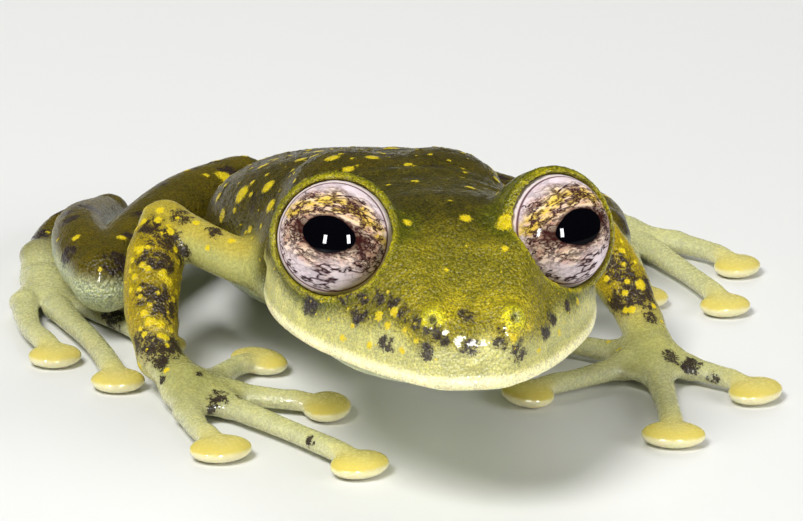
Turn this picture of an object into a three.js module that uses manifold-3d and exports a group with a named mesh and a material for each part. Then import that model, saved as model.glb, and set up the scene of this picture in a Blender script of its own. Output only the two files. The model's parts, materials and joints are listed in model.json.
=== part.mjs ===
// A small glass frog sitting on all fours, life size, in millimetres, +Z up, facing -Y.
// It is modelled about the middle of its eye line and moved at the end, so that the
// middle of its bounding box stands over the origin with the lowest pads at z = 0.
import * as THREE from 'three';
import { mergeVertices } from 'three/addons/utils/BufferGeometryUtils.js';
import Module from 'manifold-3d';

const wasm = await Module();
wasm.setup();

// Driving dimensions
const GAP = 0.3; // between neighbouring parts
const EYE_GAP = 0.2; // round each eyeball
const EYE_RADIUS = 1.65;
const LID = 0.22; // thickness of the lids
const LID_RIM = 0.15; // half thickness of the rolled lid edge
const EYE_AT = [3.1, 0, 6.93];
const EYE_OUT = 20; // degrees the eye axis turns outward from straight ahead
const EYE_UP = 24; // degrees the eye axis tips up
const LID_PLANE = 0.6; // how far in front of the eye's centre the lids end
const MOUTH_LEVEL = 3.94;
const LIP_RADIUS = 0.2;
const NOSTRIL_AT = [1.13, -4.02, 5.86];
const NOSTRIL = { mound: 0.3, rise: 0.14, hole: 0.13, depth: 0.3 };
const NECK_AT = 4.4; // where the cut between head and trunk lies
const PAD = { width: 0.93, length: 0.72, height: 0.34, level: 0.27 };
const TOE_PAD = { width: 0.8, length: 0.66, height: 0.32, level: 0.26 };
// Palm or sole: its radius and half height, the reach of its wrist, and the width cleared
// round the root of each digit.
const PALM = { radius: 1.35, height: 0.5, spread: 0.85, clear: 0.62, cleared: 0.9 };
// A digit's half widths and half heights at its root, waist and tip, and their levels.
const DIGIT = {
  root: { wide: 0.37, high: 0.31, level: 0.42 },
  waist: { wide: 0.29, high: 0.27, level: 0.4 },
  tip: { wide: 0.32, high: 0.24, level: 0.36 },
  overlap: 0.5, // how far a digit starts before its joint, until it is trimmed there
};
const HUMP = { at: [1.5, 6.6, 6.55], size: [1.4, 2.0, 0.95] }; // over each shoulder blade
const CHEEK = { at: [3.85, 1.6, 5.0], size: [0.9, 2.1, 1.0] };
const SIDES = { head: 28, trunk: 24, limb: 12, digit: 8, eye: 18 };
const FAR = 40; // a length beyond the whole frog

const UP = new THREE.Vector3(0, 0, 1);

// Helpers
const vec = (p) => new THREE.Vector3(p[0], p[1], p[2]);
const mirror = (p, side) => [p[0] * side, ...p.slice(1)];

function solid(geometry) {
  const plain = geometry.index ? geometry.toNonIndexed() : geometry.clone();
  for (const name of Object.keys(plain.attributes)) {
    if (name !== 'position') plain.deleteAttribute(name);
  }
  const merged = mergeVertices(plain, 1e-5);
  const index = [];
  const source = merged.index.array;
  for (let i = 0; i < source.length; i += 3) {
    const [a, b, c] = [source[i], source[i + 1], source[i + 2]];
    if (a !== b && b !== c && a !== c) index.push(a, b, c);
  }
  const body = new wasm.Manifold(new wasm.Mesh({
    numProp: 3,
    vertProperties: new Float32Array(merged.attributes.position.array),
    triVerts: new Uint32Array(index),
  }));
  if (body.volume() <= 0) throw new Error('a form is inside out');
  return body;
}

function largest(body) {
  return body.decompose().reduce((a, b) => (a.volume() > b.volume() ? a : b));
}

const join = (...bodies) => bodies.reduce((a, b) => a.add(b));

// A smooth value along a table of stations, at 0 for the first and 1 for the last.
function along(table) {
  const wide = table[0].length;
  const curves = [];
  for (let k = 0; k < wide; k += 3) {
    const points = table.map((row) => vec([row[k], row[k + 1] ?? 0, row[k + 2] ?? 0]));
    curves.push(new THREE.CatmullRomCurve3(points, false, 'catmullrom', 0.5));
  }
  return (t) => curves.flatMap((curve) => curve.getPoint(t).toArray()).slice(0, wide);
}

// A rounded limb through stations [x, y, z, half width, half height].
function sweep(stations, sides, rows, up = UP, cap = 3) {
  const geometry = new THREE.SphereGeometry(1, sides, rows + 2 * cap);
  const at = along(stations);
  const place = geometry.attributes.position;
  const step = 1e-3;
  for (let i = 0; i < place.count; i++) {
    const row = Math.floor(i / (sides + 1));
    const turn = ((i % (sides + 1)) / sides) * Math.PI * 2;
    const inCap = row < cap ? row / cap : row > rows + cap ? (rows + 2 * cap - row) / cap : 1;
    const t = THREE.MathUtils.clamp((row - cap) / rows, 0, 1);
    const [x, y, z, wide, high] = at(t);
    const before = vec(at(Math.max(0, t - step)));
    const ahead = vec(at(Math.min(1, t + step))).sub(before).normalize();
    const side = new THREE.Vector3().crossVectors(up, ahead).normalize();
    const above = new THREE.Vector3().crossVectors(ahead, side);
    const round = Math.sin(inCap * Math.PI / 2);
    const reach = Math.cos(inCap * Math.PI / 2) * Math.min(wide, high) * (row < cap ? -1 : 1);
    const p = vec([x, y, z])
      .addScaledVector(side, -Math.cos(turn) * round * wide)
      .addScaledVector(above, Math.sin(turn) * round * high)
      .addScaledVector(ahead, reach);
    place.setXYZ(i, p.x, p.y, p.z);
  }
  return solid(geometry);
}

// A body along Y through sections [y, half width, top, bottom, widest level, fullness].
// The first and last sections are points at their widest level.
function loft(sections, sides, rowsEach, grow = 0) {
  const rows = (sections.length - 1) * rowsEach;
  const geometry = new THREE.SphereGeometry(1, sides, rows);
  const at = along(sections);
  const place = geometry.attributes.position;
  for (let i = 0; i < place.count; i++) {
    const row = Math.floor(i / (sides + 1));
    const turn = ((i % (sides + 1)) / sides) * Math.PI * 2;
    const [y, wide, top, bottom, level, full] = at(row / rows);
    const end = row === 0 ? -1 : row === rows ? 1 : 0;
    const c = -Math.cos(turn);
    const s = Math.sin(turn);
    const bend = (v) => Math.sign(v) * Math.abs(v) ** (2 / full);
    const high = s > 0 ? top - level + grow : level - bottom + grow;
    if (end) place.setXYZ(i, 0, y + end * grow, level);
    else place.setXYZ(i, -bend(c) * (wide + grow), y, level + bend(s) * high);
  }
  return solid(geometry);
}

// Rotation and place of a form whose own axis is its local Z.
function aimed(geometry, at, direction) {
  const turn = new THREE.Quaternion().setFromUnitVectors(UP, vec(direction).normalize());
  return geometry.applyQuaternion(turn).translate(...at);
}

// Takes off all that lies beyond a plane, less half the gap.
function trim(body, at, direction, gap = GAP) {
  const far = vec(direction).normalize();
  const middle = vec(at).addScaledVector(far, FAR / 2 - gap / 2);
  const box = aimed(new THREE.BoxGeometry(FAR, FAR, FAR), middle.toArray(), far.toArray());
  return body.subtract(solid(box));
}

const backwards = (d) => d.map((v) => -v);
const toward = (a, b) => vec(b).sub(vec(a)).normalize().toArray();

// The plane that halves the bend of a limb at its middle point.
function mitre(a, b, c) {
  const into = vec(toward(a, b));
  return into.add(vec(toward(b, c))).normalize().toArray();
}

// Head
// Skull, snout and upper jaw in one: [y, half width, top, bottom, widest level, fullness].
const HEAD = [
  [-4.74, 0, 4.8, 4.8, 4.8, 2.6],
  [-4.62, 1.0, 5.35, 4.0, 4.7, 3.0],
  [-4.35, 1.42, 5.8, 3.5, 4.6, 3.0],
  [-3.9, 1.92, 6.12, 3.4, 4.5, 2.7],
  [-3.2, 2.6, 6.45, 3.3, 4.45, 2.3],
  [-2.3, 3.3, 6.9, 3.2, 4.45, 2.1],
  [-1.2, 3.98, 7.45, 3.1, 4.5, 2.0],
  [0, 4.43, 7.82, 3.0, 4.5, 2.0],
  [1.2, 4.68, 7.86, 3.0, 4.5, 2.0],
  [2.6, 4.68, 7.6, 3.0, 4.5, 2.1],
  [4.2, 4.1, 7.3, 2.9, 4.5, 2.2],
  [5.6, 3.6, 7.2, 2.8, 4.5, 2.2],
  [7, 0, 4.5, 4.5, 4.5, 2.2],
];
// Lower jaw and throat, set back under the upper lip.
const JAW = [
  [-4.0, 0, 3.95, 3.95, 3.95, 2.2],
  [-3.75, 1.2, 4.3, 3.5, 3.95, 2.2],
  [-3.1, 2.1, 4.4, 3.3, 3.9, 2.2],
  [-2, 3.1, 4.5, 3.0, 3.85, 2.2],
  [-0.6, 3.9, 4.6, 2.7, 3.75, 2.2],
  [1.2, 4.35, 4.6, 2.45, 3.7, 2.2],
  [3, 4.35, 4.6, 2.3, 3.7, 2.2],
  [4.6, 4.0, 4.6, 2.2, 3.7, 2.2],
  [6.4, 0, 3.6, 3.6, 3.6, 2.2],
];
// The edge of the upper lip, from its middle to the corner of the mouth.
const LIP = [
  [0, -4.66, 4.2], [1.3, -4.32, 4.22], [2.35, -3.45, 4.26], [3.25, -2.3, 4.32],
  [3.96, -1.15, 4.38], [4.38, 0, 4.44], [4.62, 1.3, 4.48], [4.56, 2.8, 4.5],
];

function eyeAxis(side) {
  const out = THREE.MathUtils.degToRad(EYE_OUT);
  const lift = THREE.MathUtils.degToRad(EYE_UP);
  return [side * Math.sin(out) * Math.cos(lift), -Math.cos(out) * Math.cos(lift), Math.sin(lift)];
}

function ball(radius, at, sides) {
  return solid(new THREE.SphereGeometry(radius, sides, Math.round(sides * 0.64))
    .rotateX(Math.PI / 2).translate(...at));
}

function lids(side) {
  const at = mirror(EYE_AT, side);
  const axis = eyeAxis(side);
  const socket = EYE_RADIUS + EYE_GAP;
  const edge = vec(at).addScaledVector(vec(axis), LID_PLANE).toArray();
  const shell = trim(ball(socket + LID, at, SIDES.eye), edge, axis, 0);
  const around = Math.sqrt(socket ** 2 - LID_PLANE ** 2) + LID_RIM;
  const rim = solid(aimed(new THREE.TorusGeometry(around, LID_RIM, 6, 22), edge, axis));
  return shell.add(rim);
}

function nostril(side) {
  const at = mirror(NOSTRIL_AT, side);
  const facing = [side * 0.45, -0.75, 0.5];
  const swell = new THREE.SphereGeometry(1, 12, 8)
    .scale(NOSTRIL.mound, NOSTRIL.mound, NOSTRIL.rise);
  const bore = new THREE.CylinderGeometry(NOSTRIL.hole, NOSTRIL.hole / 2, NOSTRIL.depth * 2, 8)
    .rotateX(Math.PI / 2);
  return { mound: solid(aimed(swell, at, facing)), hole: solid(aimed(bore, at, facing)) };
}

function upperLip() {
  const half = LIP.slice(1);
  const whole = [...half.map((p) => mirror(p, -1)).reverse(), LIP[0], ...half];
  return sweep(whole.map((p) => [...p, LIP_RADIUS, LIP_RADIUS]), 6, 24, UP, 1);
}

const ways = { up: [0, 0, 1], down: [0, 0, -1], back: [0, 1, 0], front: [0, -1, 0] };

function head() {
  let form = loft(HEAD, SIDES.head, 2);
  form = trim(form, [0, 0, MOUTH_LEVEL], ways.down);
  form = join(form, upperLip(), lids(1), lids(-1), swelling(CHEEK, 1), swelling(CHEEK, -1));
  for (const side of [1, -1]) {
    const { mound, hole } = nostril(side);
    form = form.add(mound).subtract(hole);
    form = form.subtract(ball(EYE_RADIUS + EYE_GAP, mirror(EYE_AT, side), SIDES.eye));
  }
  return largest(trim(form, [0, NECK_AT, 0], ways.back));
}

function lowerJaw() {
  const form = trim(loft(JAW, SIDES.head - 8, 2), [0, 0, MOUTH_LEVEL], ways.up);
  return largest(trim(form, [0, NECK_AT, 0], ways.back));
}

// Trunk
const TRUNK = [
  [2, 0, 5, 5, 5, 2.2],
  [3.2, 3.8, 7.1, 2.3, 4.6, 2.2],
  [4.6, 3.8, 7.3, 2.1, 4.5, 2.2],
  [6.2, 3.7, 7.5, 1.8, 4.3, 2.3],
  [8.2, 3.9, 7.1, 1.3, 3.9, 2.4],
  [10.6, 4.5, 6.4, 0.8, 3.3, 2.5],
  [13, 4.6, 5.5, 0.5, 2.9, 2.5],
  [15.2, 3.95, 4.65, 0.4, 2.5, 2.4],
  [17.2, 3.2, 3.85, 0.4, 2.1, 2.3],
  [19, 2.7, 3.2, 0.45, 1.8, 2.2],
  [20.6, 2.0, 2.6, 0.6, 1.5, 2.1],
  [21.5, 1.25, 2.1, 0.8, 1.4, 2.1],
  [21.9, 0, 1.4, 1.4, 1.4, 2],
];

function swelling({ at, size }, side) {
  return solid(new THREE.SphereGeometry(1, 12, 8).scale(...size).translate(...mirror(at, side)));
}

function trunk() {
  const form = join(loft(TRUNK, SIDES.trunk, 2), swelling(HUMP, 1), swelling(HUMP, -1));
  return largest(trim(form, [0, NECK_AT, 0], ways.front));
}
const nearTrunk = loft(TRUNK, SIDES.trunk, 2, GAP);
const nearHead = loft(HEAD, SIDES.head - 8, 2, GAP);

// Limbs
// Each station: [x, y, z, half width, half height]. The first and last stations of a
// part are joints, and the next part starts at the same joint.
const ARMS = {
  right: {
    arm: [[-2.6, 7.0, 3.4, 0.85, 0.85], [-4.4, 8.2, 3.5, 0.68, 0.68], [-6.3, 10.3, 3.95, 0.66, 0.66]],
    forearm: [[-6.3, 10.3, 3.95, 0.66, 0.66], [-6.75, 9.3, 3.2, 0.86, 0.9],
      [-7.05, 7.9, 2.1, 0.8, 0.82], [-7.0, 6.6, 1.1, 0.6, 0.58]],
    palm: [-6.4, 5.3, 0.72],
    digits: {
      i: [[-5.5, 6.2], [-4.6, 7.4], [-3.7, 8.2]],
      ii: [[-5.0, 5.1], [-3.7, 4.6], [-2.4, 4.15]],
      iii: [[-5.3, 4.1], [-3.9, 2.0], [-2.33, -0.6]],
      iv: [[-6.6, 3.75], [-6.5, 2.4], [-6.08, 1.05]],
    },
  },
  left: {
    arm: [[2.6, 7.0, 3.4, 0.85, 0.85], [4.3, 8.6, 3.5, 0.68, 0.68], [6.1, 10.8, 4.0, 0.66, 0.66]],
    forearm: [[6.1, 10.8, 4.0, 0.66, 0.66], [6.7, 10.1, 3.3, 0.86, 0.9],
      [7.5, 9.0, 2.2, 0.8, 0.82], [7.95, 7.9, 1.25, 0.6, 0.58]],
    palm: [8.0, 6.6, 0.75],
    digits: {
      i: [[7.1, 7.5], [6.1, 8.3], [5.2, 8.9]],
      ii: [[6.95, 6.2], [5.4, 5.4], [3.75, 4.7]],
      iii: [[7.85, 5.15], [7.6, 3.0], [7.27, 0.85]],
      iv: [[9.0, 5.95], [9.9, 5.1], [10.6, 4.2]],
    },
  },
};
const LEGS = {
  right: {
    thigh: [[-2.4, 19.4, 1.9, 1.2, 1.1], [-4.2, 17.6, 1.95, 1.35, 1.15],
      [-6.0, 14.9, 1.95, 1.25, 1.12], [-7.9, 11.4, 1.95, 1.02, 1.0]],
    shank: [[-7.9, 11.4, 1.95, 1.02, 1.0], [-8.2, 13.7, 2.0, 0.95, 0.95],
      [-7.8, 16.8, 1.7, 0.8, 0.8], [-6.4, 20.4, 0.9, 0.6, 0.6]],
    tarsus: [[-6.4, 20.4, 0.9, 0.6, 0.6], [-8.0, 19.9, 0.65, 0.5, 0.48], [-9.0, 17.7, 0.52, 0.55, 0.4]],
    sole: [-9.1, 15.7, 0.42],
    digits: {
      i: [[-7.85, 15.5], [-7.0, 15.3], [-6.1, 15.1]],
      ii: [[-8.0, 14.3], [-7.1, 13.4], [-6.2, 12.6]],
      iii: [[-8.25, 13.35], [-7.3, 11.6], [-6.4, 9.8]],
      iv: [[-9.1, 13.0], [-8.45, 10.0], [-8.15, 7.0]],
      v: [[-10.05, 13.6], [-10.15, 11.5], [-9.7, 9.3]],
    },
  },
  left: {
    thigh: [[2.4, 19.4, 1.9, 1.2, 1.1], [4.2, 17.8, 1.95, 1.35, 1.15],
      [5.9, 15.6, 2.05, 1.25, 1.12], [7.6, 12.6, 2.3, 1.02, 1.02]],
    shank: [[7.6, 12.6, 2.3, 1.02, 1.02], [7.95, 14.6, 2.1, 0.95, 1.0],
      [7.7, 17.6, 1.7, 0.8, 0.8], [6.4, 21.0, 0.9, 0.6, 0.6]],
    tarsus: [[6.4, 21.0, 0.9, 0.6, 0.6], [8.1, 21.1, 0.65, 0.5, 0.48], [9.5, 20.0, 0.55, 0.55, 0.42]],
    sole: [9.95, 18.55, 0.42],
    digits: {
      i: [[8.4, 18.15], [7.5, 17.7], [6.6, 17.2]],
      ii: [[8.65, 17.05], [8.0, 15.8], [7.3, 14.6]],
      iii: [[9.5, 16.5], [9.4, 14.6], [9.2, 12.8]],
      iv: [[10.5, 16.5], [11.1, 14.2], [11.6, 11.8]],
      v: [[11.35, 17.4], [12.2, 16.6], [12.9, 15.4]],
    },
  },
};

const floorCut = solid(new THREE.BoxGeometry(FAR * 2, FAR * 2, FAR).translate(0, 0, -FAR / 2));

function pad(size, at, ahead) {
  const geometry = new THREE.SphereGeometry(1, 12, 6).rotateX(Math.PI / 2)
    .scale(size.width, size.length, size.height)
    .rotateZ(Math.atan2(-ahead[0], ahead[1]))
    .translate(at[0], at[1], size.level);
  return solid(geometry);
}

function station(at, size) {
  return [at[0], at[1], size.level, size.wide, size.high];
}

function onward(at, direction, distance) {
  return vec(at).addScaledVector(vec(direction), distance).toArray();
}

function digit(path, size) {
  const [base, middle, tip] = path.map((p) => [...p, DIGIT.root.level]);
  const outward = toward(base, middle);
  const stations = [
    station(onward(base, outward, -DIGIT.overlap), DIGIT.root),
    station(base, DIGIT.root),
    station(middle, DIGIT.waist),
    station(tip, DIGIT.tip),
  ];
  const form = join(sweep(stations, SIDES.digit, 4, UP, 2), pad(size, tip, toward(middle, tip)));
  return largest(trim(form, base, backwards(outward)).subtract(floorCut));
}

// A palm or a sole, with a short root for each digit, cut free where the digit begins.
function palmOf(centre, joint, jointAxis, digits) {
  const cushion = new THREE.SphereGeometry(1, SIDES.limb, 6).rotateX(Math.PI / 2)
    .scale(PALM.radius, PALM.radius, PALM.height).translate(...centre);
  const wrist = sweep([joint, [...centre, PALM.spread, PALM.height - 0.05]], SIDES.limb, 3, UP, 2);
  let form = join(solid(cushion), wrist);
  const roots = Object.values(digits).map(([base, middle]) => {
    const at = [...base, DIGIT.root.level];
    return { at, outward: toward(at, [...middle, DIGIT.root.level]) };
  });
  for (const { at, outward } of roots) {
    const stations = [
      [...centre, PALM.height, PALM.height - 0.1],
      station(at, DIGIT.root),
      station(onward(at, outward, DIGIT.overlap), DIGIT.root),
    ];
    form = form.add(sweep(stations, SIDES.digit, 3, UP, 2));
  }
  const long = GAP + PALM.cleared;
  for (const { at, outward } of roots) {
    const plug = new THREE.CylinderGeometry(PALM.clear, PALM.clear, long, 10).rotateX(Math.PI / 2);
    form = form.subtract(solid(aimed(plug, onward(at, outward, (long - GAP) / 2), outward)));
  }
  return largest(trim(form, joint, jointAxis).subtract(floorCut));
}

function limbs() {
  const found = [];
  for (const side of ['right', 'left']) {
    const { arm, forearm, palm, digits } = ARMS[side];
    const elbow = mitre(arm[1], arm[2], forearm[1]);
    const wrist = mitre(forearm[2], forearm[3], palm);
    const upper = trim(sweep(arm, SIDES.limb, 6), arm[2], elbow);
    const lower = trim(sweep(forearm, SIDES.limb, 9), arm[2], backwards(elbow));
    found.push([`upper_arm_${side}`, largest(upper.subtract(nearTrunk).subtract(nearHead))]);
    found.push([`forearm_${side}`, largest(trim(lower, forearm[3], wrist))]);
    found.push([`hand_${side}`, palmOf(palm, forearm[3], backwards(wrist), digits)]);
    for (const [name, path] of Object.entries(digits)) {
      found.push([`finger_${name}_${side}`, digit(path, PAD)]);
    }
  }
  for (const side of ['right', 'left']) {
    const { thigh, shank, tarsus, sole, digits } = LEGS[side];
    const knee = mitre(thigh[2], thigh[3], shank[1]);
    const heel = mitre(shank[2], shank[3], tarsus[1]);
    const instep = mitre(tarsus[1], tarsus[2], sole);
    const upper = trim(sweep(thigh, SIDES.limb, 9), thigh[3], knee);
    let lower = trim(sweep(shank, SIDES.limb, 9), thigh[3], backwards(knee));
    lower = trim(lower, shank[3], heel);
    let ankle = trim(sweep(tarsus, SIDES.limb - 2, 6), shank[3], backwards(heel));
    ankle = trim(ankle, tarsus[2], instep);
    found.push([`thigh_${side}`, largest(upper.subtract(nearTrunk))]);
    found.push([`shank_${side}`, largest(lower)]);
    found.push([`tarsus_${side}`, largest(ankle)]);
    found.push([`foot_${side}`, palmOf(sole, tarsus[2], backwards(instep), digits)]);
    for (const [name, path] of Object.entries(digits)) {
      found.push([`toe_${name}_${side}`, digit(path, TOE_PAD)]);
    }
  }
  return found;
}

// Assembly
const COLOURS = { head: 0x8f9c3c, lower_jaw: 0xcfe0b0, trunk: 0x85943a, eye: 0xd9c9a8,
  upper: 0xb9c46a, forearm: 0xb9b24c, hand: 0xc9d49a, finger: 0xd8d38c, thigh: 0x9aa74a,
  shank: 0xa5ad55, tarsus: 0xb5bd78, foot: 0xc4cf92, toe: 0xd8d38c };

const pieces = [
  ['head', head()],
  ['lower_jaw', lowerJaw()],
  ['trunk', trunk()],
  ['eye_left', ball(EYE_RADIUS, EYE_AT, SIDES.eye)],
  ['eye_right', ball(EYE_RADIUS, mirror(EYE_AT, -1), SIDES.eye)],
  ...limbs(),
];

function meshOf(name, form) {
  const { vertProperties, triVerts, numProp } = form.getMesh();
  const geometry = new THREE.BufferGeometry();
  const count = vertProperties.length / numProp;
  const position = new Float32Array(count * 3);
  for (let i = 0; i < count; i++) {
    for (let k = 0; k < 3; k++) position[i * 3 + k] = vertProperties[i * numProp + k];
  }
  geometry.setAttribute('position', new THREE.BufferAttribute(position, 3));
  geometry.setIndex(new THREE.BufferAttribute(new Uint32Array(triVerts), 1));
  const key = Object.keys(COLOURS).find((k) => name.startsWith(k));
  const mesh = new THREE.Mesh(geometry, new THREE.MeshStandardMaterial({ color: COLOURS[key] }));
  mesh.name = name;
  return mesh;
}

const frog = new THREE.Group();
frog.name = 'glass_frog';
for (const [name, form] of pieces) frog.add(meshOf(name, form));

const box = new THREE.Box3().setFromObject(frog);
const middle = box.getCenter(new THREE.Vector3());
for (const mesh of frog.children) {
  mesh.geometry.translate(-middle.x, -middle.y, -box.min.z);
}

export default frog;
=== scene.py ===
"""Looks of the glass frog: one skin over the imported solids, two eyes, light and camera."""

import json
import math

import bpy
import numpy as np
from mathutils import Matrix, Vector


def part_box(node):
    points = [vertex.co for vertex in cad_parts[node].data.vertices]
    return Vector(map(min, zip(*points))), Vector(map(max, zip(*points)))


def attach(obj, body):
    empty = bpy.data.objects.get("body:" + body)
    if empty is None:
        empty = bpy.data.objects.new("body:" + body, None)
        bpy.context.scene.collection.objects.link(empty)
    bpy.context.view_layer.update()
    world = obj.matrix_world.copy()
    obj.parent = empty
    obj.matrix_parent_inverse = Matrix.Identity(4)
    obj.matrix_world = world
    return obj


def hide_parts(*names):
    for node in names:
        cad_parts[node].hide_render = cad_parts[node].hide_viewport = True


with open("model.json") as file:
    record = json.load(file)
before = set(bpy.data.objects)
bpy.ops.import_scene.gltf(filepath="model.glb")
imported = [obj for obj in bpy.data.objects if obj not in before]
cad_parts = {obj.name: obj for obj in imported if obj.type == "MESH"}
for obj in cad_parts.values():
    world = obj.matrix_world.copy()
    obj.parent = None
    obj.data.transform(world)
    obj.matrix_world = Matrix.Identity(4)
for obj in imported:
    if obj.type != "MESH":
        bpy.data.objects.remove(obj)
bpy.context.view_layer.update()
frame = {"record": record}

# Sizes in millimetres, about the middle of the eye line
MM = 0.001
# Spacing of the grid that holds the distances, and a distance that means far outside.
GRID = 0.08
FAR = 5.0
SEED = 7
# The frog's left and right.
SIDES = (1, -1)
EYE_RADIUS = 1.7
EYE_AT = np.array([3.1, 0.0, 6.93])
# Degrees that the gaze turns outward and up, and that the pupil drops towards the nose.
EYE_OUT, EYE_UP = 20.0, 23.0
PUPIL_DROP = 9.0
# The lids: their opening stands before the eye's middle and has a ring round its edge.
LID_PLANE = 0.36
LID_THICK = 0.16
LID_SLACK = 0.02
RIM_BEYOND, RIM_RADIUS = 0.09, 0.12
EYE_GAP = 0.01
MOUTH_LEVEL = 3.98
LIP_RADIUS = 0.19
NOSTRIL_AT, NOSTRIL_FACING = (1.1, -4.06, 5.84), (0.3, -0.82, 0.42)
# A nostril's mound, ring and hole: how far out along its facing, then the radii.
MOUND = -0.08, (0.48, 0.48, 0.32)
NOSTRIL_RING = 0.19, (0.23, 0.1)
HOLE = 0.2, (0.12, 0.12, 0.26)
# Swellings on both sides: middle and radii.
SHOULDER_HUMP = (1.5, 6.8, 6.1), (1.4, 2.0, 0.9)
FLANK = (2.6, 6.8, 3.6), (1.5, 1.6, 1.4)
CHEEK = (3.65, 1.5, 5.0), (0.9, 2.1, 1.0)
# The photo: its size and the middle of the eye line in pixels, and how it was taken.
PICTURE = (803, 521)
EYES_IN_PICTURE = (444.0, 236.0)
PIXELS_PER_MM = 35.2
CAMERA = {"azimuth": -12.0, "elevation": 19.0, "roll": 2.2, "distance": 170.0}

# Sections of head, jaw and trunk: y, half width, top, bottom, widest level, fullness.
HEAD = [
    (-4.74, 0.0, 4.8, 4.8, 4.8, 2.6),
    (-4.62, 1.0, 5.35, 4.0, 4.7, 3.0),
    (-4.35, 1.42, 5.8, 3.85, 4.6, 3.0),
    (-3.9, 1.92, 6.12, 3.8, 4.5, 2.7),
    (-3.2, 2.6, 6.45, 3.7, 4.45, 2.3),
    (-2.3, 3.3, 6.9, 3.5, 4.45, 2.1),
    (-1.2, 3.98, 7.4, 3.4, 4.5, 2.0),
    (0.0, 4.38, 7.72, 3.3, 4.5, 2.0),
    (1.2, 4.58, 7.76, 3.2, 4.5, 2.0),
    (2.6, 4.5, 7.55, 3.1, 4.5, 2.1),
    (4.2, 4.1, 7.35, 2.9, 4.5, 2.2),
    (5.6, 3.4, 7.0, 2.8, 4.5, 2.2),
    (7.0, 0.0, 4.5, 4.5, 4.5, 2.2),
]
JAW = [
    (-3.9, 0.0, 4.0, 4.0, 4.0, 2.2),
    (-3.65, 1.15, 4.25, 3.72, 4.0, 2.2),
    (-3.1, 2.0, 4.3, 3.55, 3.95, 2.2),
    (-2.0, 2.85, 4.3, 3.3, 3.9, 2.2),
    (-0.6, 3.3, 4.3, 3.1, 3.8, 2.2),
    (1.2, 3.5, 4.3, 2.9, 3.7, 2.2),
    (3.0, 3.5, 4.3, 2.7, 3.7, 2.2),
    (4.6, 3.5, 4.3, 2.5, 3.7, 2.2),
    (6.4, 0.0, 3.6, 3.6, 3.6, 2.2),
]
# The upper lip's edge, from its middle to the frog's left.
LIP = [(0, -4.66, 4.2), (1.3, -4.32, 4.22), (2.35, -3.45, 4.26), (3.25, -2.3, 4.32),
       (3.96, -1.15, 4.38), (4.34, 0, 4.44), (4.5, 1.3, 4.48), (4.42, 2.6, 4.5)]
TRUNK = [
    (2.0, 0.0, 5.0, 5.0, 5.0, 2.2),
    (3.2, 3.8, 7.0, 2.3, 4.6, 2.2),
    (4.6, 3.8, 7.05, 2.1, 4.5, 2.2),
    (6.2, 3.7, 7.1, 1.8, 4.3, 2.3),
    (8.2, 3.9, 6.65, 1.3, 3.9, 2.4),
    (10.6, 4.5, 6.12, 0.8, 3.3, 2.5),
    (13.0, 4.6, 5.28, 0.5, 2.9, 2.5),
    (15.2, 3.95, 4.65, 0.4, 2.5, 2.4),
    (17.2, 3.2, 3.85, 0.4, 2.1, 2.3),
    (19.0, 2.7, 3.2, 0.45, 1.8, 2.2),
    (20.6, 2.0, 2.6, 0.6, 1.5, 2.1),
    (21.5, 1.25, 2.1, 0.8, 1.4, 2.1),
    (21.9, 0.0, 1.4, 1.4, 1.4, 2.0),
]
# Limbs: each station is x, y, z, half width, half height.
ARMS = {
    "right": {
        "arm": [(-2.6, 7.0, 3.4, 0.85, 0.85), (-4.4, 8.2, 3.5, 0.68, 0.68),
                (-6.3, 10.3, 3.95, 0.7, 0.7)],
        "forearm": [(-6.3, 10.3, 3.95, 0.7, 0.7), (-6.75, 9.3, 3.2, 0.86, 0.9),
                    (-7.05, 7.9, 2.1, 0.8, 0.82), (-7.0, 6.6, 1.1, 0.6, 0.58)],
        "palm": (-6.4, 5.3, 0.72),
        "digits": {"i": [(-5.5, 6.2), (-4.6, 7.4), (-3.7, 8.2)],
                   "ii": [(-5.0, 5.1), (-3.7, 4.6), (-2.4, 4.15)],
                   "iii": [(-5.3, 4.1), (-3.9, 2.0), (-2.33, -0.6)],
                   "iv": [(-6.6, 3.75), (-6.5, 2.4), (-6.08, 1.05)]},
    },
    "left": {
        "arm": [(2.6, 7.0, 3.4, 0.85, 0.85), (4.3, 8.6, 3.5, 0.68, 0.68),
                (6.1, 10.8, 4.0, 0.7, 0.7)],
        "forearm": [(6.1, 10.8, 4.0, 0.7, 0.7), (6.7, 10.1, 3.3, 0.86, 0.9),
                    (7.5, 9.0, 2.2, 0.8, 0.82), (7.95, 7.9, 1.25, 0.6, 0.58)],
        "palm": (8.0, 6.6, 0.75),
        "digits": {"i": [(7.1, 7.5), (6.1, 8.3), (5.2, 8.9)],
                   "ii": [(6.95, 6.2), (5.4, 5.4), (3.75, 4.7)],
                   "iii": [(7.85, 5.15), (7.6, 3.0), (7.27, 0.85)],
                   "iv": [(9.0, 5.95), (9.9, 5.1), (10.6, 4.2)]},
    },
}
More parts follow.
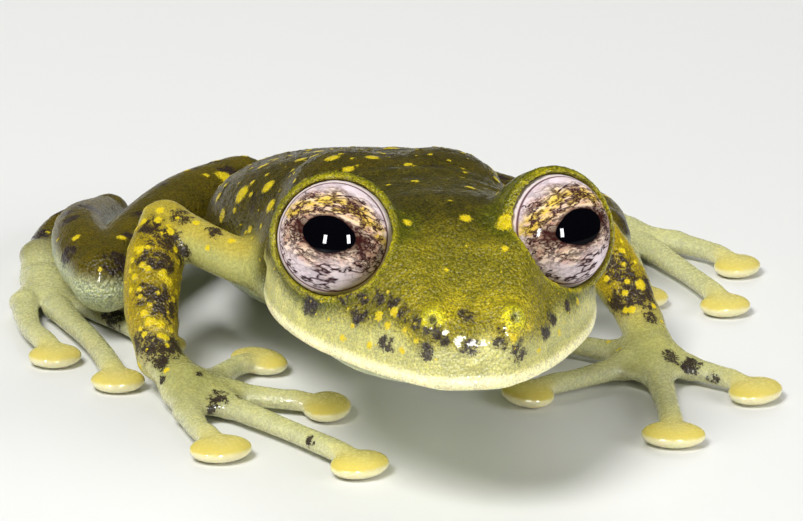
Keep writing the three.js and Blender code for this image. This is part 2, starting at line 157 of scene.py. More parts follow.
LEGS = {
    "right": {
        "thigh": [(-2.4, 19.4, 1.9, 1.2, 1.1), (-4.2, 17.6, 1.95, 1.35, 1.15),
                  (-6.0, 14.9, 1.95, 1.25, 1.12), (-7.9, 11.4, 1.95, 1.02, 1.0)],
        "shank": [(-7.9, 11.4, 1.95, 1.02, 1.0), (-8.2, 13.7, 2.0, 0.95, 0.95),
                  (-7.8, 16.8, 1.7, 0.8, 0.8), (-6.4, 20.4, 0.9, 0.6, 0.6)],
        "tarsus": [(-6.4, 20.4, 0.9, 0.6, 0.6), (-8.0, 19.9, 0.65, 0.5, 0.48),
                   (-9.0, 17.7, 0.52, 0.55, 0.4)],
        "palm": (-9.1, 15.7, 0.42),
        "digits": {"i": [(-7.85, 15.5), (-7.0, 15.3), (-6.1, 15.1)],
                   "ii": [(-8.0, 14.3), (-7.1, 13.4), (-6.2, 12.6)],
                   "iii": [(-8.25, 13.35), (-7.3, 11.6), (-6.4, 9.8)],
                   "iv": [(-9.1, 13.0), (-8.45, 10.0), (-8.15, 7.0)],
                   "v": [(-10.05, 13.6), (-10.15, 11.5), (-9.7, 9.3)]},
    },
    "left": {
        "thigh": [(2.4, 19.4, 1.9, 1.2, 1.1), (4.2, 17.8, 1.95, 1.35, 1.15),
                  (5.9, 15.6, 2.05, 1.25, 1.12), (7.6, 12.6, 2.3, 1.02, 1.02)],
        "shank": [(7.6, 12.6, 2.3, 1.02, 1.02), (7.95, 14.6, 2.1, 0.95, 1.0),
                  (7.7, 17.6, 1.7, 0.8, 0.8), (6.4, 21.0, 0.9, 0.6, 0.6)],
        "tarsus": [(6.4, 21.0, 0.9, 0.6, 0.6), (8.1, 21.1, 0.65, 0.5, 0.48),
                   (9.5, 20.0, 0.55, 0.55, 0.42)],
        "palm": (9.95, 18.55, 0.42),
        "digits": {"i": [(8.4, 18.15), (7.5, 17.7), (6.6, 17.2)],
                   "ii": [(8.65, 17.05), (8.0, 15.8), (7.3, 14.6)],
                   "iii": [(9.5, 16.5), (9.4, 14.6), (9.2, 12.8)],
                   "iv": [(10.5, 16.5), (11.1, 14.2), (11.6, 11.8)],
                   "v": [(11.35, 17.4), (12.2, 16.6), (12.9, 15.4)]},
    },
}
# Pads: half width, half length, half height and level of the middle.
FINGER_PAD = (0.95, 0.72, 0.34, 0.3)
TOE_PAD = (0.82, 0.66, 0.32, 0.28)
# A digit's level, half width and half height at its four stations.
DIGIT_BASE, DIGIT_MIDDLE = (0.45, 0.43, 0.33), (0.42, 0.34, 0.29)
DIGIT_KNUCKLE, DIGIT_TIP = (0.42, 0.36, 0.3), (0.33, 0.32, 0.22)
# Palms and soles: their half height, a root towards each digit, and the hand's cushion.
PALM_HEIGHT = {"hand": 0.42, "foot": 0.36}
PALM_HALF_WIDTHS = 0.8, 0.5
DIGIT_ROOT = (0.45, 0.4, 0.34)
CUSHION_LEVEL, CUSHION = 0.5, (1.2, 1.35, 0.42)
# Ridge from the eye to the nostril and fold behind the cheek, both mirrored, and nape crease.
RIDGE = [(1.7, -1.6, 6.75, 0.55, 0.5), (1.4, -2.8, 6.1, 0.5, 0.45), (1.1, -3.7, 5.6, 0.42, 0.4)]
FOLD = [(4.0, 1.2, 6.5, 0.25, 0.25), (4.35, 2.6, 5.9, 0.28, 0.28), (4.0, 4.2, 4.9, 0.3, 0.3)]
NAPE = [(-3.0, 3.2, 7.0, 0.2, 0.2), (-1.4, 3.9, 7.62, 0.2, 0.2), (0, 4.05, 7.72, 0.2, 0.2),
        (1.4, 3.9, 7.62, 0.2, 0.2), (3.0, 3.2, 7.0, 0.2, 0.2)]
# How softly each form runs into what it joins.
SOFT = {"hump": 0.9, "flank": 0.8, "mouth": 0.12, "ridge": 0.8, "cheek": 0.7, "fold": 0.4,
        "lip": 0.25, "jaw": 0.04, "lid": 0.45, "opening": 0.08, "rim": 0.12, "mound": 0.22,
        "nostril": 0.06, "neck": 0.35, "nape": 0.3, "leg": 0.22, "floor": 0.05,
        "arm": 0.5, "forearm": 0.3, "hand": 0.3, "digit": 0.16, "pad": 0.1,
        "thigh": 0.5, "shank": 0.12, "tarsus": 0.25, "foot": 0.3}

# Skin colours, linear
BACK_GREEN = np.array([0.062, 0.045, 0.001])
CROWN = np.array([0.062, 0.048, 0.001])
SNOUT = np.array([0.22, 0.178, 0.007])
SNOUT_TIP = np.array([0.34, 0.265, 0.01])
PALE = np.array([0.55, 0.51, 0.2])
LIP_WHITE = np.array([0.98, 0.88, 0.56])
BELLY = np.array([0.5, 0.52, 0.36])
YELLOW = np.array([0.78, 0.6, 0.01])
YELLOW_GREEN = np.array([0.29, 0.245, 0.006])
LID_GREEN = np.array([0.085, 0.085, 0.001])
ARM_OLIVE = np.array([0.38, 0.27, 0.007])
LIMB_PALE = np.array([0.47, 0.45, 0.16])
HAND_PALE = np.array([0.58, 0.57, 0.34])
PAD_TOP = np.array([0.68, 0.56, 0.12])
PAD_RIM = np.array([0.85, 0.79, 0.5])
DARK = np.array([0.022, 0.011, 0.013])
NOSTRIL_YELLOW = YELLOW_GREEN * 2.1
# Noise of the skin, in cells to the metre, and the depth of its bump in metres
GRAIN, STIPPLE, CLOUDS, GRANULES, TATTERS = 9000.0, 19000.0, 1500.0, 9500.0, 4200.0
BUMP_DEPTH = 0.00009
# What the clouds and the flecks multiply the skin by
CLOUD_DARK, CLOUD_LIGHT = (0.68, 0.7, 0.75), (1.25, 1.22, 1.1)
FLECK_DARK, FLECK_LIGHT = (0.55, 0.6, 0.6), (1.6, 1.66, 1.2)
# Eye colours, and the pupil's half width and height as shares of the eye's radius
IRIS_PALE, IRIS_MAUVE = (0.9, 0.8, 0.82), (0.6, 0.48, 0.54)
IRIS_BROWN, IRIS_SAND = (0.6, 0.3, 0.13), (0.9, 0.68, 0.42)
IRIS_GOLD = (0.86, 0.6, 0.04)
VEIN, WEDGE, PUPIL = (0.035, 0.008, 0.014), (0.035, 0.008, 0.006), (0.001, 0.001, 0.002)
RING_DARK, RING_PALE = (0.14, 0.06, 0.07), (0.78, 0.68, 0.68)
EYE_BEHIND = (0.2, 0.17, 0.05)
PUPIL_HALF = (0.45, 0.31)
# Stage, in metres and watts. A lamp has its place from the eye line, its width and its power.
FLOOR_SIZE, FLOOR_PALE = 0.6, (0.74, 0.74, 0.72)
SKY, SKY_STRENGTH = (0.85, 0.88, 0.9), 0.1
SENSOR = 36.0
LAMPS = [("key", (0.15, 0.13, -0.07), 0.1, 0.5), ("fill", (0.1, 0.06, 0.2), 0.14, 0.26),
         ("back", (-0.12, 0.16, 0.0), 0.12, 0.14)]
GLINT_OUT, GLINT_APART, GLINT_SIZE, GLINT_WATTS = 0.15, 0.062, (0.018, 0.046), 0.5
BODY_MIDDLE, EYE_LINE = (0, 4, 3), 7

# Round marks seen in the photo: x and y in its pixels, and a radius in mm
FACE_DARK = [(309, 306, .3), (359, 315, .28), (385, 344, .26), (425, 352, .22), (438, 334, .14),
             (468, 316, .28), (470, 348, .26), (500, 344, .22), (519, 352, .32), (546, 332, .26),
             (552, 318, .22), (569, 306, .2), (446, 342, .14), (500, 330, .14)]
# The dark speckled line from below the eye to the nostril.
FACE_LINE = [(346, 298), (362, 300), (378, 299), (394, 303), (405, 313), (417, 323), (431, 330)]
FACE_YELLOW = [(379, 316, .16), (389, 326, .14), (343, 338, .12), (370, 345, .12), (352, 326, .1),
               (403, 350, .12), (417, 341, .1), (514, 338, .14), (528, 327, .14), (559, 333, .11),
               (538, 350, .12), (578, 302, .12), (466, 218, .2), (505, 222, .3), (407, 223, .16),
               (415, 182, .14), (470, 187, .16), (395, 312, .16), (405, 330, .1), (505, 250, .12)]
ARM_DARK = [(150, 228, .42), (165, 240, .5), (180, 254, .36), (148, 258, .4), (165, 262, .36),
            (148, 296, .42), (165, 304, .5), (180, 312, .3), (142, 342, .4), (158, 350, .46),
            (174, 346, .4), (160, 362, .3), (182, 216, .34), (215, 232, .26), (162, 380, .14),
            (200, 374, .14), (310, 441, .2), (217, 398, .3), (212, 412, .2), (240, 396, .14),
            (620, 268, .45), (632, 284, .5), (648, 300, .4), (625, 302, .36), (652, 318, .24),
            (672, 358, .3), (690, 366, .3), (714, 378, .2)]
ARM_YELLOW = [(140, 250, .16), (168, 283, .18), (150, 322, .18), (185, 300, .12), (175, 250, .12),
              (140, 290, .12), (140, 366, .13), (167, 371, .12), (640, 285, .2), (655, 280, .16),
              (632, 310, .14), (224, 178, .32), (243, 195, .32), (268, 186, .26), (190, 325, .1),
              (143, 222, .16), (158, 221, .15), (170, 232, .14), (143, 266, .14), (162, 276, .17),
              (178, 262, .12), (150, 306, .13), (172, 300, .13), (160, 324, .16), (178, 326, .12),
              (145, 335, .13), (166, 338, .12), (196, 222, .14), (232, 240, .13), (208, 248, .1)]

# Round marks strewn by the draw: how many, the radius from and to, and the spacing, in mm
BACK_SPOTS, BACK_DOTS = (46, 0.13, 0.24, 0.9), (200, 0.05, 0.11, 0.4)
CROWN_DOTS, LEG_DOTS = (30, 0.04, 0.09, 0.5), (44, 0.08, 0.18, 0.6)
ARM_DOTS, FACE_DOTS = (70, 0.07, 0.13, 0.33), (90, 0.035, 0.075, 0.3)
LEG_BLOTCHES, BACK_BLOTCHES = (44, 0.25, 0.5, 0.9), (26, 0.15, 0.4, 1.2)
ARM_BLOTCHES = (8, 0.25, 0.4, 0.9)
LINE_RADIUS = 0.26
# A mark fades out at this many radii, and the regions' colours over this many millimetres.
MARK_REACH, REGION_BLEND = 1.6, 0.18
DOT_HEIGHT, ROUGHNESS = 0.025, 0.012

# Where the frame's own origin lies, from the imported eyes.
eye_boxes = [np.array(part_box(name)) / MM for name in ("eye_left", "eye_right")]
OFFSET = sum(b.mean(axis=0) for b in eye_boxes) / 2 - np.array([0.0, 0.0, EYE_AT[2]])


def metres(p):
    """A place of this script in the frame's metres."""
    return (np.asarray(p, float) + OFFSET) * MM


# The camera, as the photo was taken
def camera_axes():
    a, e, r = (math.radians(CAMERA[k]) for k in ("azimuth", "elevation", "roll"))
    back = np.array([math.sin(a) * math.cos(e), -math.cos(a) * math.cos(e), math.sin(e)])
    right = np.array([math.cos(a), math.sin(a), 0.0])
    up = np.cross(back, right)
    return (back, right * math.cos(r) + up * math.sin(r), -right * math.sin(r) + up * math.cos(r))


BACK, RIGHT, CAMERA_UP = camera_axes()
CAMERA_AT = (np.array([0, 0, EYE_AT[2]]) + BACK * CAMERA["distance"]
             - RIGHT * (EYES_IN_PICTURE[0] - PICTURE[0] / 2) / PIXELS_PER_MM
             - CAMERA_UP * (PICTURE[1] / 2 - EYES_IN_PICTURE[1]) / PIXELS_PER_MM)
FOCAL = PIXELS_PER_MM * CAMERA["distance"]


# Distances to forms
def catmull(table, count):
    """The table's rows joined by a smooth curve, count points for each step."""
    t = np.asarray(table, float)
    padded = np.vstack([2 * t[0] - t[1], t, 2 * t[-1] - t[-2]])
    out = []
    for i in range(len(t) - 1):
        a, b, c, d = padded[i:i + 4]
        for s in np.arange(count) / count:
            out.append(0.5 * (2 * b + (c - a) * s + (2 * a - 5 * b + 4 * c - d) * s * s
                              + (3 * b - a - 3 * c + d) * s ** 3))
    out.append(t[-1])
    return np.array(out)


def smooth_min(a, b, k):
    """The smaller of two distances, rounded over a width k where they meet."""
    if k <= 0:
        return np.minimum(a, b)
    h = np.maximum(k - np.abs(a - b), 0) / k
    return np.minimum(a, b) - h * h * k * 0.25


def smooth_max(a, b, k):
    return -smooth_min(-a, -b, k)


def loft(sections):
    """A body through cross sections along Y: its distance and the corners of its box."""
    rows = catmull(sections, 16)
    rows[:, 0] = np.maximum.accumulate(rows[:, 0] + np.arange(len(rows)) * 1e-9)

    def distance(x, y, z):
        w, top, low, level, full = (np.interp(y, rows[:, 0], rows[:, k]) for k in range(1, 6))
        w = np.maximum(w, 1e-3)
        dz = z - level
        high = np.maximum(np.where(dz > 0, top - level, level - low), 1e-3)
        ax = np.abs(x) / w
        az = np.abs(dz) / high
        q = np.maximum((ax ** full + az ** full) ** (1 / full), 1e-6)
        flat = np.sqrt(x * x + dz * dz)
        d = flat * (1 - 1 / q)
        past = np.maximum(rows[0, 0] - y, y - rows[-1, 0])
        return np.where(past > 0, np.sqrt(np.maximum(d, 0) ** 2 + past ** 2), d)

    lo = np.array([-rows[:, 1].max(), rows[0, 0], rows[:, 3].min()])
    hi = np.array([rows[:, 1].max(), rows[-1, 0], rows[:, 2].max()])
    return distance, lo, hi


def tube(stations, count=5):
    """A limb through stations, oval where the two half sizes differ."""
    rows = catmull(stations, count)
    up = np.array([0.0, 0.0, 1.0])

    def distance(x, y, z):
        best = None
        for a, b in zip(rows[:-1], rows[1:]):
            ab = b[:3] - a[:3]
            size = ab @ ab
            t = np.clip(((x - a[0]) * ab[0] + (y - a[1]) * ab[1] + (z - a[2]) * ab[2]) / size, 0, 1)
            dx, dy, dz = x - a[0] - t * ab[0], y - a[1] - t * ab[1], z - a[2] - t * ab[2]
            w, h = a[3] + t * (b[3] - a[3]), a[4] + t * (b[4] - a[4])
            away = dx * dx + dy * dy + dz * dz
            if abs(a[3] - a[4]) + abs(b[3] - b[4]) < 0.03:
                d = np.sqrt(away) - w
            else:
                ahead = ab / math.sqrt(size)
                above = up - ahead * (up @ ahead)
                above /= np.linalg.norm(above)
                u = dx * above[0] + dy * above[1] + dz * above[2]
                q = np.sqrt(np.maximum(away - u * u, 0) / (w * w) + u * u / (h * h)) + 1e-6
                d = np.sqrt(away) * (1 - 1 / q)
                d = np.where(q < 0.3, -np.minimum(w, h) * (1 - q), d)
            best = d if best is None else np.minimum(best, d)
        return best

    reach = rows[:, 3:].max()
    return distance, rows[:, :3].min(axis=0) - reach, rows[:, :3].max(axis=0) + reach


def ellipsoid(at, radii, yaw=0.0, axis=None):
    """A flattened ball turned about Z by yaw, or with its local Z along axis."""
    if axis is not None:
        turn = np.array(Vector((0, 0, 1)).rotation_difference(Vector(axis)).to_matrix()).T
    else:
        c, s = math.cos(yaw), math.sin(yaw)
        turn = np.array([[c, s, 0], [-s, c, 0], [0, 0, 1]])
    radii = np.asarray(radii, float)

    def distance(x, y, z):
        p = [x - at[0], y - at[1], z - at[2]]
        q = [turn[i, 0] * p[0] + turn[i, 1] * p[1] + turn[i, 2] * p[2] for i in range(3)]
        k0 = np.sqrt(sum((q[i] / radii[i]) ** 2 for i in range(3))) + 1e-6
        k1 = np.sqrt(sum((q[i] / radii[i] ** 2) ** 2 for i in range(3))) + 1e-6
        return k0 * (k0 - 1) / k1

    reach = radii.max()
    return distance, np.asarray(at) - reach, np.asarray(at) + reach


def ring(at, axis, major, minor):
    """A round ring about an axis."""
    axis = np.asarray(axis, float) / np.linalg.norm(axis)

    def distance(x, y, z):
        dx, dy, dz = x - at[0], y - at[1], z - at[2]
        h = dx * axis[0] + dy * axis[1] + dz * axis[2]
        out = np.sqrt(np.maximum(dx * dx + dy * dy + dz * dz - h * h, 0)) - major
        return np.sqrt(out * out + h * h) - minor

    reach = major + minor
    return distance, np.asarray(at) - reach, np.asarray(at) + reach


# The field of the whole body
LOW, HIGH = np.array([-11.6, -5.6, -0.5]), np.array([14.6, 22.8, 9.6])
AXES = [np.arange(LOW[i], HIGH[i] + GRID, GRID, dtype=np.float32) for i in range(3)]


def window(lo, hi):
    """The part of the grid between two corners."""
    cut = []
    for i in range(3):
        a = max(int((lo[i] - LOW[i]) / GRID), 0)
        b = min(int((hi[i] - LOW[i]) / GRID) + 2, len(AXES[i]))
        cut.append(slice(a, b))
    return tuple(cut)


def grid_of(cut):
    return (AXES[0][cut[0]][:, None, None], AXES[1][cut[1]][None, :, None],
            AXES[2][cut[2]][None, None, :])


def add(field, form, k=0.0, margin=0.7):
    """Joins a form to the field, within a margin of its box."""
    distance, lo, hi = form
    cut = window(lo - margin, hi + margin)
    field[cut] = smooth_min(field[cut], distance(*grid_of(cut)).astype(np.float32), k)


def carve(field, form, k=0.0, margin=0.4):
    """Cuts a form out of the field."""
    distance, lo, hi = form
    cut = window(lo - margin, hi + margin)
    field[cut] = smooth_max(field[cut], -distance(*grid_of(cut)).astype(np.float32), k)


def mirrored(p, side):
    """The place itself for side 1, and its mirror image for side -1."""
    return np.array([p[0] * side, p[1], p[2]], float)


def eye_axis(side):
    out, lift = math.radians(EYE_OUT), math.radians(EYE_UP)
    return np.array([side * math.sin(out) * math.cos(lift), -math.cos(out) * math.cos(lift),
                     math.sin(lift)])


def digit_forms(path, pad_size):
    """A slim finger or toe, and the round pad at its tip."""
    base, middle, tip = (np.array(p) for p in path)
    ahead = tip - middle
    yaw = math.atan2(-ahead[0], ahead[1])
    length = ahead / np.linalg.norm(ahead)
    knuckle = tip - length * pad_size[1] * 1.25
    stations = [(*base, *DIGIT_BASE), (*middle, *DIGIT_MIDDLE),
                (*knuckle, *DIGIT_KNUCKLE), (*tip, *DIGIT_TIP)]
    pad = ellipsoid((*tip, pad_size[3]), pad_size[:3], yaw)
    return tube(stations, 4), pad


def palm_parts(region, kind, limb, joint, pad_size):
    """The palm or sole between the joint and the digits, and the digits themselves."""
    centre, height = limb["palm"], PALM_HEIGHT[region]
    wide, narrow = PALM_HALF_WIDTHS
    parts = [(region, kind, tube([joint, (*centre, wide, height)], 3))]
    paths = limb["digits"].values()
    if region == "hand":
        spread = 0.45 * np.array(centre[:2]) + 0.55 * np.mean([p[0] for p in paths], axis=0)
        parts.append((region, kind, ellipsoid((*spread, CUSHION_LEVEL), CUSHION)))
    for path in paths:
        root = tube([(*centre, narrow, height), (*path[0], *DIGIT_ROOT)], 3)
        finger, pad = digit_forms(path, pad_size)
        parts += [(region, kind, root), ("digit", kind, finger), ("pad", kind, pad)]
    return parts


def limb_parts():
    """Every limb form, with its region for the colours and whether it is of an arm or a leg."""
    parts = []
    for limb in ARMS.values():
        parts += [(name, "arm", tube(limb[name])) for name in ("arm", "forearm")]
        parts += palm_parts("hand", "arm", limb, limb["forearm"][-1], FINGER_PAD)
    for limb in LEGS.values():
        parts += [(name, "leg", tube(limb[name])) for name in ("thigh", "shank", "tarsus")]
        parts += palm_parts("foot", "leg", limb, limb["tarsus"][-1], TOE_PAD)
    return parts


HEAD_FORM, JAW_FORM, TRUNK_FORM = loft(HEAD), loft(JAW), loft(TRUNK)
LIP_CURVE = [mirrored(p, -1) for p in LIP[:0:-1]] + [np.array(p, float) for p in LIP]
LIP_FORM = tube([(*p, LIP_RADIUS, LIP_RADIUS) for p in LIP_CURVE], 4)
LIMBS = limb_parts()


def nostril(side):
    """Where a nostril is, and the way it faces."""
    facing = mirrored(NOSTRIL_FACING, side)
    return mirrored(NOSTRIL_AT, side), facing / np.linalg.norm(facing)


def swelling(form, side):
    """One of the swellings, on the given side."""
    at, radii = form
    return ellipsoid(mirrored(at, side), radii)


def fold(stations, side):
    """A fold or ridge of skin through stations, on the given side."""
    return tube([(side * s[0], *s[1:]) for s in stations], 4)


def empty_field():
    """Nothing anywhere: all of the grid is far outside."""
    return np.full([len(a) for a in AXES], FAR, np.float32)


def trunk_field():
    field = empty_field()
    add(field, TRUNK_FORM, 0, 1.0)
    for side in SIDES:
        add(field, swelling(SHOULDER_HUMP, side), SOFT["hump"])
        add(field, swelling(FLANK, side), SOFT["flank"])
    return field


def add_eyelids(head, side):
    """A shell round the eye, open in front of the lids' plane, with a ring at its edge."""
    at, axis = mirrored(EYE_AT, side), eye_axis(side)
    add(head, ellipsoid(at, (EYE_RADIUS + LID_THICK,) * 3), SOFT["lid"])
    front = at + axis * LID_PLANE
    radius = math.sqrt(EYE_RADIUS ** 2 - LID_PLANE ** 2) + LID_SLACK
    reach = EYE_RADIUS + 0.9
    cut = window(at - reach, at + reach)
    x, y, z = grid_of(cut)
    h = (x - front[0]) * axis[0] + (y - front[1]) * axis[1] + (z - front[2]) * axis[2]
    dist2 = (x - front[0]) ** 2 + (y - front[1]) ** 2 + (z - front[2]) ** 2
    out = np.sqrt(np.maximum(dist2 - h * h, 0)) - radius
    head[cut] = smooth_max(head[cut], -np.maximum(out, -h), SOFT["opening"])
    add(head, ring(front, axis, radius + RIM_BEYOND, RIM_RADIUS), SOFT["rim"])
    carve(head, ellipsoid(at, (EYE_RADIUS + EYE_GAP,) * 3))


def add_nostril(head, side):
    nose, facing = nostril(side)
    out, radii = MOUND
    add(head, ellipsoid(nose + facing * out, radii, axis=facing), SOFT["mound"])
    out, radii = NOSTRIL_RING
    add(head, ring(nose + facing * out, facing, *radii), SOFT["nostril"])
    out, radii = HOLE
    carve(head, ellipsoid(nose + facing * out, radii, axis=facing), SOFT["nostril"])


def head_field():
    """The head above the mouth's line, with the jaw under it, the lids and the nostrils."""
    head = empty_field()
    add(head, HEAD_FORM, 0, 1.0)
    below = MOUTH_LEVEL - grid_of(window(LOW, HIGH))[2]
    head = smooth_max(head, below + np.zeros_like(head), SOFT["mouth"])
    for side in SIDES:
        add(head, fold(RIDGE, side), SOFT["ridge"])
        add(head, swelling(CHEEK, side), SOFT["cheek"])
        add(head, fold(FOLD, side), SOFT["fold"])
    add(head, LIP_FORM, SOFT["lip"])
    jaw = empty_field()
    add(jaw, JAW_FORM, 0, 1.0)
    head = smooth_min(head, jaw, SOFT["jaw"])
    for side in SIDES:
        add_eyelids(head, side)
    for side in SIDES:
        add_nostril(head, side)
    return head


def add_limbs(field):
    """The arms run into the body, and the folded legs keep a crease against it."""
    legs = empty_field()
    for digits in (False, True):
        for region, kind, form in LIMBS:
            if (region in ("digit", "pad")) == digits:
                add(legs if kind == "leg" else field, form, SOFT[region])
    return smooth_min(field, legs, SOFT["leg"])


def body_field():
    field = smooth_min(trunk_field(), head_field(), SOFT["neck"])
    carve(field, fold(NAPE, 1), SOFT["nape"])
    field = add_limbs(field)
    floor = -grid_of(window(LOW, HIGH))[2]
    return smooth_max(field, floor + np.zeros_like(field), SOFT["floor"])


# Skin from the field
def surface(field):
    """Quads through the cells that the surface crosses."""
    inside = field < 0
    shape = np.array(field.shape)
    steps = np.array([shape[1] * shape[2], shape[2], 1])
    flat = field.ravel()
    cells, points, quads, flips = [], [], [], []
    for axis in range(3):
        a = np.take(inside, range(shape[axis] - 1), axis)
        b = np.take(inside, range(1, shape[axis]), axis)
        where = np.argwhere(a != b)
        ids = where @ steps
        f0, f1 = flat[ids], flat[ids + steps[axis]]
        p = where.astype(np.float64)
        p[:, axis] += f0 / (f0 - f1)
        u, v = (axis + 1) % 3, (axis + 2) % 3
        around = [ids, ids - steps[u], ids - steps[u] - steps[v], ids - steps[v]]
        for c in around:
            cells.append(c)
            points.append(p)
        quads.append(np.stack(around, 1))
        flips.append(f0 < 0)
    cells = np.concatenate(cells)
    points = np.concatenate(points)
    names, index = np.unique(cells, return_inverse=True)
    count = np.bincount(index)
    place = np.stack([np.bincount(index, points[:, k]) / count for k in range(3)], 1)
    quads = np.concatenate(quads)
    flips = np.concatenate(flips)
    quads = np.searchsorted(names, quads)
    quads[~flips] = quads[~flips][:, ::-1]
    return place * GRID + LOW, quads


def largest_piece(place, quads):
    """Drops crumbs: keeps the vertices joined to the biggest shell."""
    label = np.arange(len(place))
    for _ in range(200):
        low = label[quads].min(axis=1)
        new = label.copy()
        for k in range(4):
            np.minimum.at(new, quads[:, k], low)
        new = new[new]
        if (new == label).all():
            break
        label = new
    names, counts = np.unique(label, return_counts=True)
    keep = label == names[counts.argmax()]
    order = np.cumsum(keep) - 1
    return place[keep], order[quads[keep[quads[:, 0]]]]


def relax(place, quads, rounds, amount=0.5, back=1.02):
    """Moves each vertex towards the middle of its neighbours, and back every other round."""
    edges = np.concatenate([quads[:, [i, (i + 1) % 4]] for i in range(4)])
    degree = np.bincount(edges[:, 0], minlength=len(place))
    for turn in range(rounds):
        total = np.stack([np.bincount(edges[:, 0], place[edges[:, 1], k], len(place))
                          for k in range(3)], 1)
        pull = amount if turn % 2 == 0 else -amount * back
        place = place + (total / np.maximum(degree, 1)[:, None] - place) * pull
    return place


def normals_of(place, quads):
    n = np.cross(place[quads[:, 2]] - place[quads[:, 0]], place[quads[:, 3]] - place[quads[:, 1]])
    out = np.zeros_like(place)
    for k in range(4):
        for c in range(3):
            out[:, c] += np.bincount(quads[:, k], n[:, c], len(place))
    return out / np.maximum(np.linalg.norm(out, axis=1, keepdims=True), 1e-9)


field = body_field()
place, quads = surface(field)
place, quads = largest_piece(place, quads)
place = relax(place, quads, 4)
place[:, 2] = np.maximum(place[:, 2], 0.0)
normal = normals_of(place, quads)
print("skin", len(place), "vertices", len(quads), "quads")


# Marks
def seen_at(px, py):
    """The first point of the skin on the line of sight through a pixel of the photo."""
    ray = -BACK * FOCAL + RIGHT * (px - PICTURE[0] / 2) + CAMERA_UP * (PICTURE[1] / 2 - py)
    ray /= np.linalg.norm(ray)
    reach = CAMERA["distance"] + np.arange(-14, 26, 0.03)
    p = CAMERA_AT + ray * reach[:, None]
    cell = np.round((p - LOW) / GRID).astype(int)
    good = ((cell >= 0) & (cell < np.array(field.shape))).all(axis=1)
    value = np.full(len(p), FAR)
    value[good] = field[tuple(cell[good].T)]
    hit = np.argmax(value < 0)
    return p[hit] if value[hit] < 0 else None


def round_mark(at, radius):
    """1 within the mark, falling to 0 outside its edge."""
    return np.clip(MARK_REACH - np.linalg.norm(place - at, axis=1) / radius, 0, 1)


def spots(marks):
    """Strength of the marks seen in the photo."""
    out = np.zeros(len(place))
    for px, py, radius in marks:
        at = seen_at(px, py)
        if at is not None:
            out = np.maximum(out, round_mark(at, radius))
    return out


def scatter(rng, density, kind):
    """Round marks strewn over the skin, most of them where the density is high."""
    count, low, high, spacing = kind
    out = np.zeros(len(place))
    share = density / density.sum()
    taken = []
    for i in rng.choice(len(place), count * 3, p=share, replace=False):
        at = place[i]
        if taken and min(np.linalg.norm(np.array(taken) - at, axis=1)) < spacing:
            continue
        taken.append(at)
        out = np.maximum(out, round_mark(at, rng.uniform(low, high)))
        if len(taken) >= count:
            break
    return out


def region_weights():
    """How much of each region every vertex belongs to, 1 in all."""
    distances = {}
    for region, _, form in LIMBS:
        distances[region] = np.minimum(distances.get(region, np.inf), form[0](X, Y, Z))
    distances["head"] = np.minimum(HEAD_FORM[0](X, Y, Z), JAW_FORM[0](X, Y, Z))
    distances["trunk"] = TRUNK_FORM[0](X, Y, Z)
    near = np.minimum.reduce(list(distances.values()))
    share = {k: np.exp((near - v) / REGION_BLEND) for k, v in distances.items()}
    total = sum(share.values())
    return {k: v / total for k, v in share.items()}


def mix(a, b, t):
    t = np.clip(t, 0, 1)[:, None]
    return a * (1 - t) + b * t


def step(x, low, high):
    """Rises smoothly from 0 at low to 1 at high."""
    t = np.clip((x - low) / (high - low), 0, 1)
    return t * t * (3 - 2 * t)


X, Y, Z = place.T
weight = region_weights()
up_facing = normal[:, 2]
# The pale upper lip rises to a wavy border under the eye and the nostril.
border = 5.35 + 0.12 * np.sin(X * 2.3 + 0.8) + 0.1 * np.sin(X * 5.1)
pale_face = 1 - step(Z, border - 0.4, border + 0.3)


def eyelid_colours(tint, side):
    """Green lids with a yellow rim at their edge."""
    at, axis = mirrored(EYE_AT, side), eye_axis(side)
    far = np.linalg.norm(place - at, axis=1)
    ahead = (place - at) @ axis
    out = np.sqrt(np.maximum(far ** 2 - ahead ** 2, 0)) - EYE_RADIUS
    lid = (1 - step(far, EYE_RADIUS + 0.3, EYE_RADIUS + 1.0)) * step(ahead, -0.9, 0.1)
    rim = (1 - step(out + 0.6 * np.maximum(-ahead, 0), 0.06, 0.22)) * step(ahead, -0.3, 0.1)
    return mix(mix(tint, LID_GREEN, lid), YELLOW_GREEN, rim)


def nostril_colours(tint, side):
    """A yellow ring with a pale middle."""
    nose, facing = nostril(side)
    far = np.linalg.norm(place - nose - facing * 0.15, axis=1)
    tint = mix(tint, NOSTRIL_YELLOW, 0.85 * (1 - step(far, 0.3, 0.44)))
    return mix(tint, PALE, 0.8 * (1 - step(far, 0.14, 0.22)))


def head_colours():
    """Olive crown, brighter snout, pale face and throat, and the white edge of the lip."""
    tint = mix(CROWN, SNOUT, step(-Y, -0.1, 2.4))
    tint = mix(tint, SNOUT_TIP, step(-Y, 2.9, 4.0))
    for side in SIDES:
        tint = eyelid_colours(tint, side)
    tint = mix(tint, PALE, pale_face)
    tint = mix(tint, BELLY, 1 - step(Z, 3.85, 4.0))
    lip_level = np.interp(Y, [p[1] for p in LIP], [p[2] for p in LIP])
    edge = (1 - step(LIP_FORM[0](X, Y, Z), 0.06, 0.24)) * (1 - step(Z - lip_level, 0.08, 0.28))
    tint = mix(tint, LIP_WHITE, edge)
    for side in SIDES:
        tint = nostril_colours(tint, side)
    return tint


